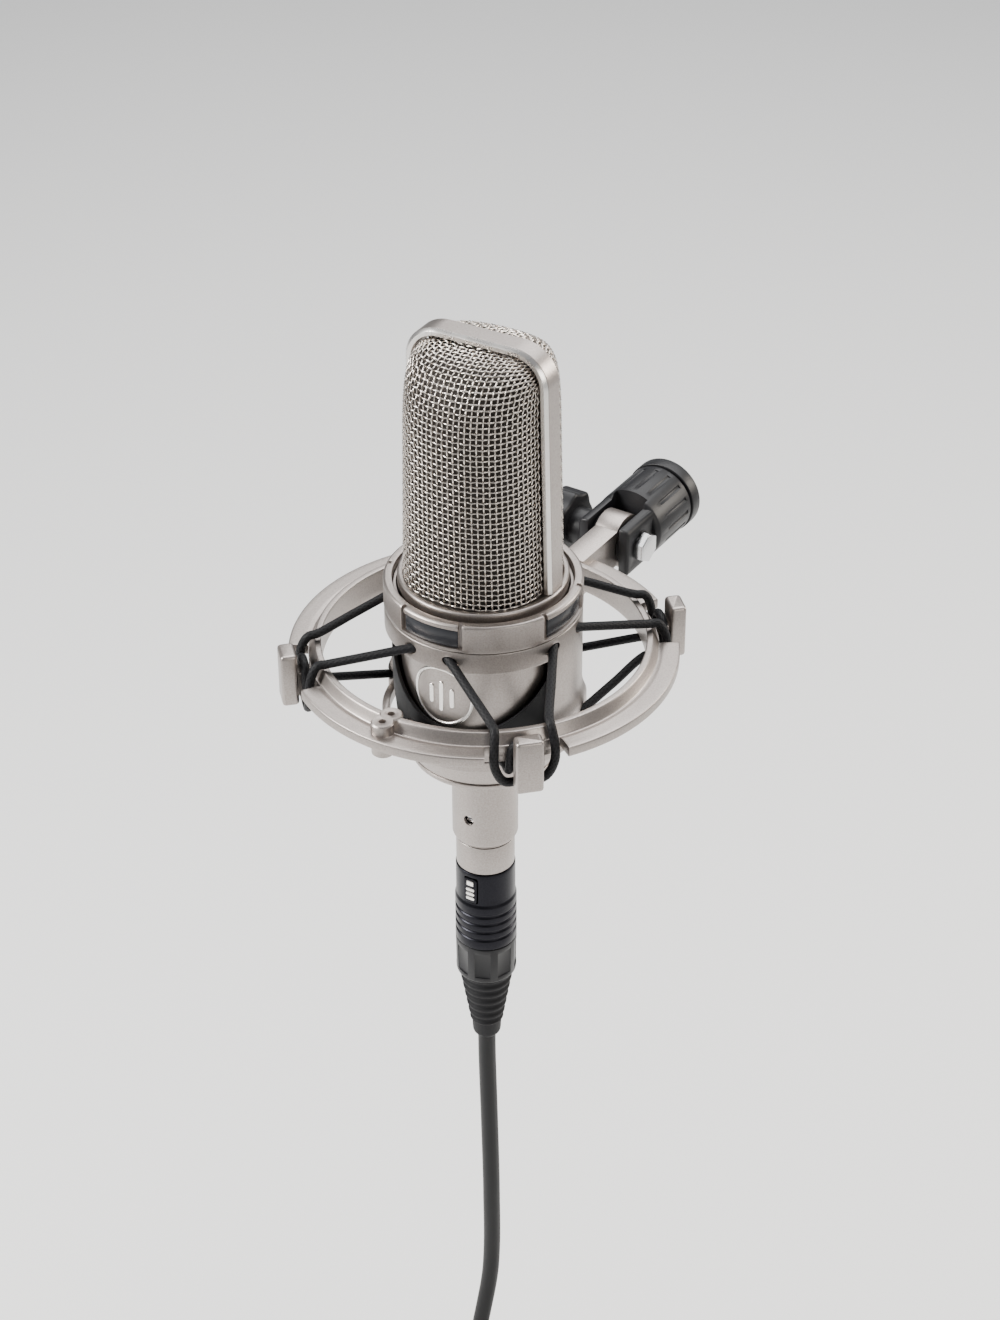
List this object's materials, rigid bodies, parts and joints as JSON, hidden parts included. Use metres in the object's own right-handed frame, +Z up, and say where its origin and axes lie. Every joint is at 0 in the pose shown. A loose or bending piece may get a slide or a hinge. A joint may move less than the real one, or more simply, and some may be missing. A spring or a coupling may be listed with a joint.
{
  "type": "condenser microphone",
  "caption": "Side-address studio condenser microphone in an elastic-cord shock mount, with a swivel stand clamp, a plugged-in connector and its coiled cable.",
  "frame": {"origin": "centre of the stand clamp's thread mouth, where the microphone stand screws in", "axes": "+Z up along the microphone's axis towards its head, +Y out of the stand clamp's thread, so the microphone's front faces -Y, +X to the microphone's left as it faces out"},
  "size_m": [0.1206, 0.1753, 0.5971],
  "materials": {
    "satin_nickel": "satin nickel, fine bead-blasted grain",
    "satin_aluminium": "satin nickel-coloured coating",
    "wire_mesh": "bright woven wire",
    "inner_screen": "dark fine mesh",
    "black_plastic": "satin moulded",
    "plug_black": "black coated metal",
    "black_rubber": "matte",
    "cable_jacket": "matte",
    "elastic_cord": "braided",
    "strap_fabric": "woven",
    "gold_plate": "gold plated",
    "gold_film": "gold-sputtered film",
    "brass": "machined",
    "steel": "polished",
    "circuit_board": "solder mask"
  },
  "bodies": {
    "stand_clamp": {"clamp_body": "black_plastic", "thread_insert": "brass", "friction_washer_left": "black_rubber", "friction_washer_right": "black_rubber", "pivot_bolt": "steel"},
    "knob": {"clamp_knob": "black_plastic"},
    "mount_ring": {"outer_ring": "satin_aluminium", "upper_cord_front_right": "elastic_cord", "upper_cord_rear_right": "elastic_cord", "upper_cord_rear_left": "elastic_cord", "upper_cord_front_left": "elastic_cord", "lower_cord_front_right": "elastic_cord", "lower_cord_rear_right": "elastic_cord", "lower_cord_rear_left": "elastic_cord", "lower_cord_front_left": "elastic_cord"},
    "microphone": {"cradle": "satin_aluminium", "cradle_liner": "black_plastic", "head_frame": "satin_nickel", "front_grille": "wire_mesh", "rear_grille": "wire_mesh", "front_screen": "inner_screen", "rear_screen": "inner_screen", "shoulder_ring": "satin_nickel", "body_tube": "satin_nickel", "badge": "satin_nickel", "bottom_cap": "satin_nickel", "connector_stem": "satin_nickel", "connector_shell": "satin_nickel", "connector_insert": "black_plastic", "contact_pin_1": "gold_plate", "contact_pin_2": "gold_plate", "contact_pin_3": "gold_plate", "stem_screw": "steel", "capsule_backplate": "brass", "front_diaphragm": "gold_film", "front_clamp_ring": "brass", "rear_diaphragm": "gold_film", "rear_clamp_ring": "brass", "capsule_saddle": "black_plastic", "circuit_board": "circuit_board", "chassis_rail_left": "steel", "chassis_rail_right": "steel", "transformer": "steel"},
    "cradle_lock": {"lock_ring": "satin_aluminium"},
    "pad_slider": {"pad_switch": "black_plastic"},
    "filter_slider": {"filter_switch": "black_plastic"},
    "plug": {"plug_shell": "plug_black", "plug_insert": "black_plastic", "plug_sleeve": "black_plastic", "plug_boot": "black_rubber", "cable": "cable_jacket", "cable_coil": "cable_jacket", "coil_strap": "strap_fabric", "cable_tail": "cable_jacket", "far_plug_boot": "black_rubber", "far_plug_shell": "plug_black", "far_plug_insert": "black_plastic"},
    "latch": {"plug_latch": "steel"}
  },
  "joints": [
    {"name": "mount_tilt", "type": "hinge", "parent": "stand_clamp", "child": "mount_ring", "pos_m": [0, -0.035, 0], "axis": [1, 0, 0], "range_deg": [-90, 90]},
    {"name": "clamp_knob_turn", "type": "hinge", "parent": "stand_clamp", "child": "knob", "pos_m": [0, -0.035, 0], "axis": [1, 0, 0], "continuous": true},
    {"name": "cradle_float", "type": "slide", "parent": "mount_ring", "child": "microphone", "axis": [0, 0, 1], "range_m": [-0.006, 0.006], "stiffness_N_per_m": 1500, "springref_m": 0.006, "deforming": ["upper_cord_front_right", "upper_cord_rear_right", "upper_cord_rear_left", "upper_cord_front_left", "lower_cord_front_right", "lower_cord_rear_right", "lower_cord_rear_left", "lower_cord_front_left"]},
    {"name": "lock_ring_twist", "type": "hinge", "parent": "microphone", "child": "cradle_lock", "pos_m": [0, -0.115, 0.024], "axis": [0, 0, 1], "range_deg": [0, 25]},
    {"name": "pad_switch_slide", "type": "slide", "parent": "microphone", "child": "pad_slider", "axis": [0, 0, -1], "range_m": [0, 0.003]},
    {"name": "filter_switch_slide", "type": "slide", "parent": "microphone", "child": "filter_slider", "axis": [0, 0, -1], "range_m": [0, 0.003]},
    {"name": "plug_pull", "type": "slide", "parent": "microphone", "child": "plug", "axis": [0, 0, -1], "range_m": [0, 0.015]},
    {"name": "latch_press", "type": "slide", "parent": "plug", "child": "latch", "axis": [-0.0523, 0.9986, 0], "range_m": [0, 0.0007], "stiffness_N_per_m": 1500, "springref_m": -0.0005}
  ]
}
